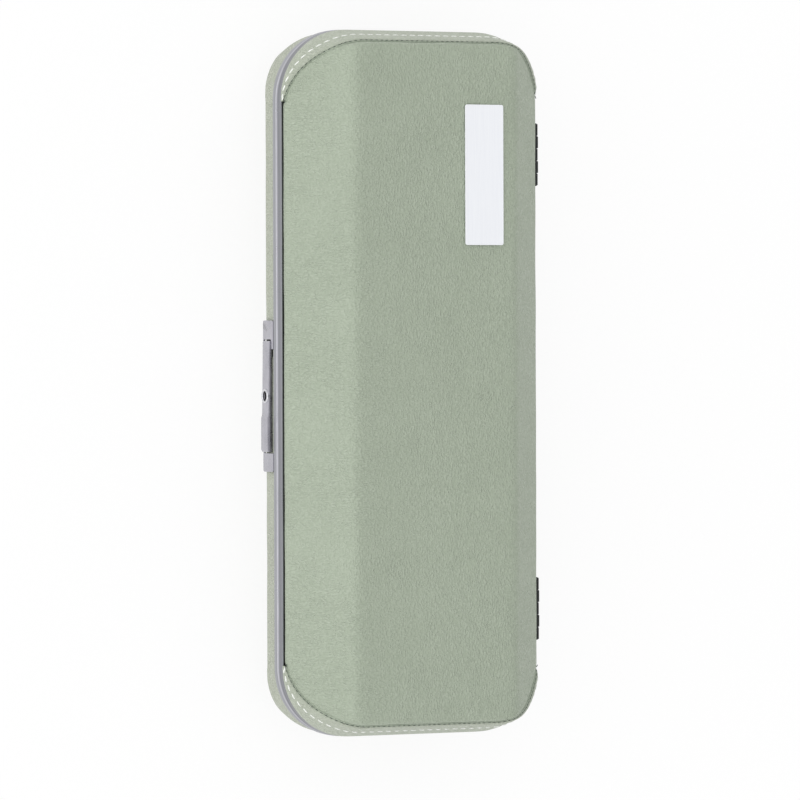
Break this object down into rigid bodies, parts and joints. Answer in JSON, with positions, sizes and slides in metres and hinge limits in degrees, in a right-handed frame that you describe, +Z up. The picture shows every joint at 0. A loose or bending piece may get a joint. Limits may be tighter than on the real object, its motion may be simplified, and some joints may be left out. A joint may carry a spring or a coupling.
{
  "type": "oboe case",
  "caption": "Slim hard case in two hinged halves with faceted leatherette crowns, aluminium rims, a side lever latch with a lock, and a fitted cradle for a small woodwind.",
  "frame": {"origin": "centre of the flat bottom face of the base, on which the closed case lies", "axes": "+X along the case with the latch side towards the viewer, +Z up out of the lid's crown, -Y towards the latch and +Y towards the hinges"},
  "size_m": [0.32, 0.1359, 0.0694],
  "materials": {
    "leatherette": "soft grained",
    "shell_plastic": "moulded",
    "rail_aluminium": "anodised satin",
    "satin_metal": "satin plated",
    "spring_steel": "drawn wire",
    "black_metal": "black lacquer",
    "seal_rubber": "matt",
    "plush": "short pile",
    "plate_enamel": "smooth"
  },
  "bodies": {
    "base": {"base_shell": "shell_plastic", "base_cover_panel": "leatherette", "base_cover_end_left": "leatherette", "base_cover_end_right": "leatherette", "base_rail": "rail_aluminium", "rim_seal": "seal_rubber", "rim_seal_spine": "seal_rubber", "cradle": "plush", "hinge_base_leaf_left": "black_metal", "hinge_base_leaf_right": "black_metal", "hinge_base_rivet_1": "black_metal", "hinge_base_rivet_2": "black_metal", "hinge_base_rivet_3": "black_metal", "hinge_base_rivet_4": "black_metal", "hinge_pin_left": "black_metal", "hinge_pin_right": "black_metal", "latch_plate": "satin_metal", "latch_nut_left": "satin_metal", "latch_nut_right": "satin_metal", "lever_pin": "satin_metal", "latch_bracket": "satin_metal", "latch_spring": "spring_steel"},
    "lid": {"lid_shell": "shell_plastic", "lid_cover_panel": "leatherette", "lid_cover_end_left": "leatherette", "lid_cover_end_right": "leatherette", "lid_rail": "rail_aluminium", "lid_lining": "plush", "hinge_lid_leaf_left": "black_metal", "hinge_lid_leaf_right": "black_metal", "hinge_lid_rivet_1": "black_metal", "hinge_lid_rivet_2": "black_metal", "hinge_lid_rivet_3": "black_metal", "hinge_lid_rivet_4": "black_metal", "keeper": "satin_metal", "keeper_rivet_1": "satin_metal", "keeper_rivet_2": "satin_metal", "name_plate": "plate_enamel"},
    "lever": {"latch_lever": "satin_metal", "lock_collar": "satin_metal"},
    "lock": {"lock_cylinder": "satin_metal", "lock_cam": "satin_metal"},
    "bolt": {"latch_bolt": "satin_metal"}
  },
  "joints": [
    {"name": "lid_hinge", "type": "hinge", "parent": "base", "child": "lid", "pos_m": [0, 0.0671, 0.037], "axis": [-1, 0, 0], "range_deg": [0, 105]},
    {"name": "lever_pivot", "type": "hinge", "parent": "base", "child": "lever", "pos_m": [-0.0175, -0.064, 0.02765], "axis": [0, 0, -1], "range_deg": [0, 45], "stiffness_Nm_per_rad": 0.0074, "springref_deg": -16.04},
    {"name": "lock_turn", "type": "hinge", "parent": "lever", "child": "lock", "pos_m": [0.0057, -0.064, 0.02765], "axis": [0, 1, 0], "range_deg": [0, 90]},
    {"name": "bolt_slide", "type": "slide", "parent": "base", "child": "bolt", "axis": [1, 0, 0], "range_m": [0, 0.0055], "deforming": ["latch_spring"]}
  ],
  "couplings": [
    {"joint": "bolt_slide", "follows": "lever_pivot", "m_per_rad": 0.007}
  ]
}
